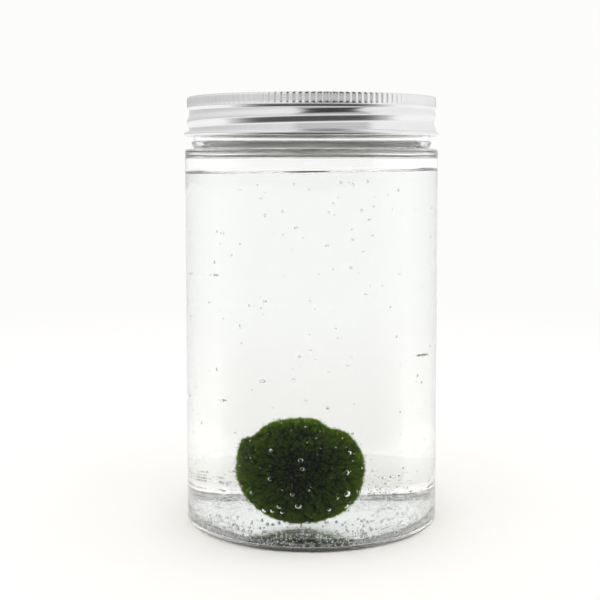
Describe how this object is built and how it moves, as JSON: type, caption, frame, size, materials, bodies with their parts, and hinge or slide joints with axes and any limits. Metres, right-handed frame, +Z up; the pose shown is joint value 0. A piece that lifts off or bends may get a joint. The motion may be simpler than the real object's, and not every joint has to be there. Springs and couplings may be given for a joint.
{
  "type": "moss ball in a jar",
  "caption": "Round green moss ball lying in a clear cylindrical jar of water with a ribbed screw-on metal lid.",
  "frame": {"origin": "centre of the jar's standing ring, on the surface it stands on", "axes": "+Z up along the jar's axis; the camera of the picture looks along +Y"},
  "size_m": [0.0856, 0.0856, 0.1423],
  "materials": {
    "clear_plastic": "clear, glossy blown plastic",
    "clear_water": "clear water with small air bubbles",
    "moss": "velvety green algae filaments",
    "aluminium": "thin rolled sheet, satin",
    "foam": "pale matt foam disc"
  },
  "bodies": {
    "jar": {"jar": "clear_plastic", "water": "clear_water", "moss_ball": "moss"},
    "liner": {"liner": "foam"},
    "lid": {"lid": "aluminium"}
  },
  "joints": [
    {"name": "lid_lift", "type": "slide", "parent": "jar", "child": "liner", "axis": [0, 0, 1], "range_m": [0, 0.00508]},
    {"name": "lid_turn", "type": "hinge", "parent": "liner", "child": "lid", "pos_m": [0, 0, 0.135], "axis": [0, 0, 1], "range_deg": [0, 360]}
  ],
  "couplings": [
    {"joint": "lid_lift", "follows": "lid_turn", "m_per_rad": 0.00080851}
  ]
}
